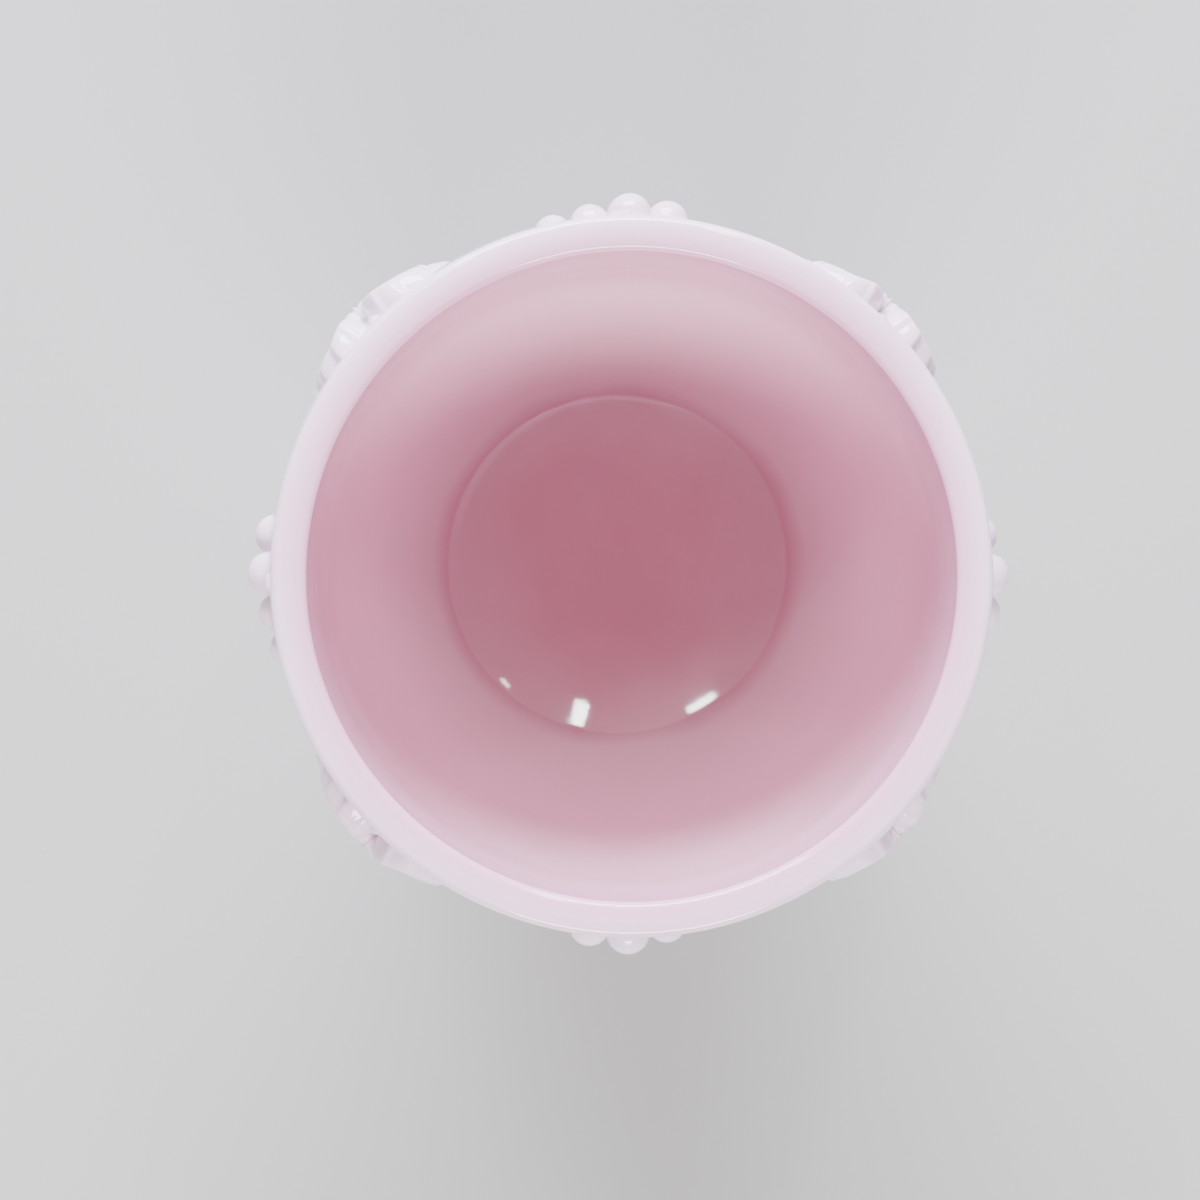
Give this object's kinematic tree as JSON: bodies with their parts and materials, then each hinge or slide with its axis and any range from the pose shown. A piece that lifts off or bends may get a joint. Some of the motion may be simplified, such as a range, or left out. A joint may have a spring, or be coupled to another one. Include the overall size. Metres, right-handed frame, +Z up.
{
  "type": "posy vase",
  "caption": "Small footed wide-mouthed glass vase, pressed in white opal glass with a plain thick rim over a relief band of grape bunches and vine leaves.",
  "frame": {"origin": "middle of the circle on which the foot stands", "axes": "+Z up along the vase's axis, from the foot to the mouth; +X through the middle of the first grape bunch"},
  "size_m": [0.1078, 0.1078, 0.115],
  "materials": {
    "opal_glass": "gloss"
  },
  "bodies": {
    "root": {"foot": "opal_glass", "bowl": "opal_glass", "rim_band": "opal_glass", "grape_bunch_1": "opal_glass", "grape_bunch_2": "opal_glass", "grape_bunch_3": "opal_glass", "grape_bunch_4": "opal_glass", "bunch_stalk_1": "opal_glass", "bunch_stalk_2": "opal_glass", "bunch_stalk_3": "opal_glass", "bunch_stalk_4": "opal_glass", "vine_leaf_1": "opal_glass", "vine_leaf_2": "opal_glass", "vine_leaf_3": "opal_glass", "vine_leaf_4": "opal_glass"}
  },
  "joints": []
}
